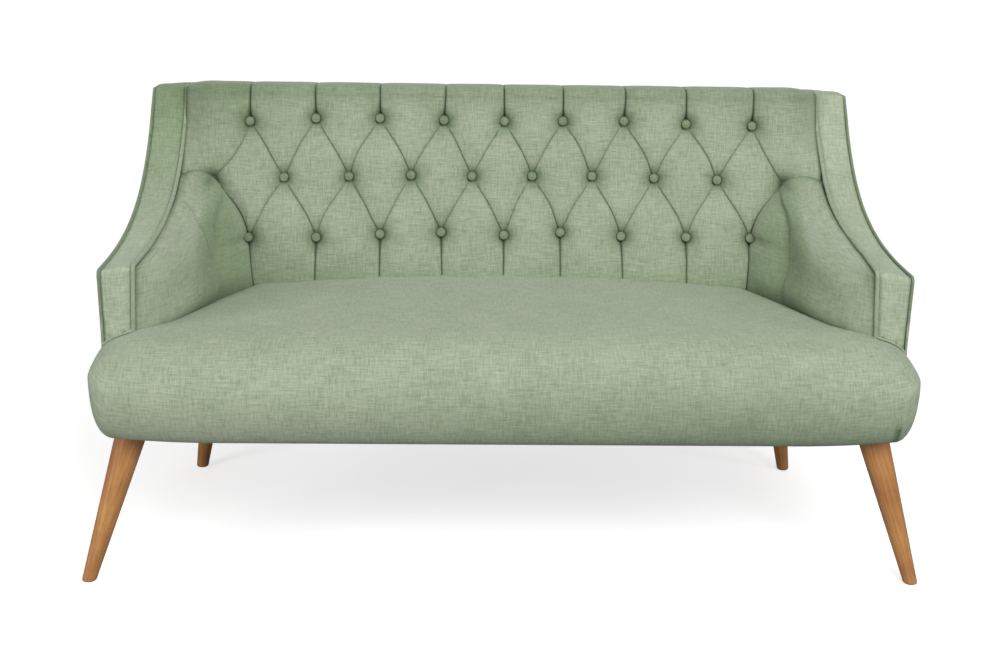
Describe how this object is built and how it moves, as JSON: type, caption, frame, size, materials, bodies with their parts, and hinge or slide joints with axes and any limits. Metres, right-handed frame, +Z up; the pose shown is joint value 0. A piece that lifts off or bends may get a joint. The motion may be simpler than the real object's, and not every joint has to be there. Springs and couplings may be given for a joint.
{
  "type": "two-seater sofa",
  "caption": "Two-seater sofa with a deep-buttoned back, sloping piped arms, a tight rolled-front seat and splayed tapered wooden legs, in sage green cloth.",
  "frame": {"origin": "on the floor, under the centre of the sofa's box", "axes": "+X to the right as seen from the front, along the width; +Y from the front to the back; +Z up"},
  "size_m": [1.381, 0.72, 0.7604],
  "materials": {
    "sage_cloth": "matte",
    "frame_beech": "matte",
    "board_ply": "matte",
    "leg_beech": "satin",
    "spring_steel": "satin",
    "black_cloth": "matte"
  },
  "bodies": {
    "root": {"seat_pad": "sage_cloth", "arm_pad_left": "sage_cloth", "arm_pad_right": "sage_cloth", "arm_facing_left": "sage_cloth", "arm_facing_right": "sage_cloth", "outside_arm_left": "sage_cloth", "outside_arm_right": "sage_cloth", "back_pad": "sage_cloth", "outside_back": "sage_cloth", "button_top_1": "sage_cloth", "button_top_2": "sage_cloth", "button_top_3": "sage_cloth", "button_top_4": "sage_cloth", "button_top_5": "sage_cloth", "button_top_6": "sage_cloth", "button_top_7": "sage_cloth", "button_top_8": "sage_cloth", "button_top_9": "sage_cloth", "button_middle_1": "sage_cloth", "button_middle_2": "sage_cloth", "button_middle_3": "sage_cloth", "button_middle_4": "sage_cloth", "button_middle_5": "sage_cloth", "button_middle_6": "sage_cloth", "button_middle_7": "sage_cloth", "button_middle_8": "sage_cloth", "button_low_1": "sage_cloth", "button_low_2": "sage_cloth", "button_low_3": "sage_cloth", "button_low_4": "sage_cloth", "button_low_5": "sage_cloth", "button_low_6": "sage_cloth", "button_low_7": "sage_cloth", "button_low_8": "sage_cloth", "button_low_9": "sage_cloth", "seat_front_rail": "frame_beech", "seat_rear_rail": "frame_beech", "seat_side_rail_left": "frame_beech", "seat_side_rail_right": "frame_beech", "seat_centre_stretcher": "frame_beech", "back_top_rail": "frame_beech", "back_lower_rail": "frame_beech", "arm_frame_left": "board_ply", "arm_frame_right": "board_ply", "back_board": "board_ply", "leg_front_left": "leg_beech", "leg_front_right": "leg_beech", "leg_rear_left": "leg_beech", "leg_rear_right": "leg_beech", "leg_front_left_plate": "spring_steel", "leg_front_right_plate": "spring_steel", "leg_rear_left_plate": "spring_steel", "leg_rear_right_plate": "spring_steel", "seat_spring_1": "spring_steel", "seat_spring_2": "spring_steel", "seat_spring_3": "spring_steel", "seat_spring_4": "spring_steel", "seat_spring_5": "spring_steel", "dust_cover": "black_cloth"}
  },
  "joints": []
}
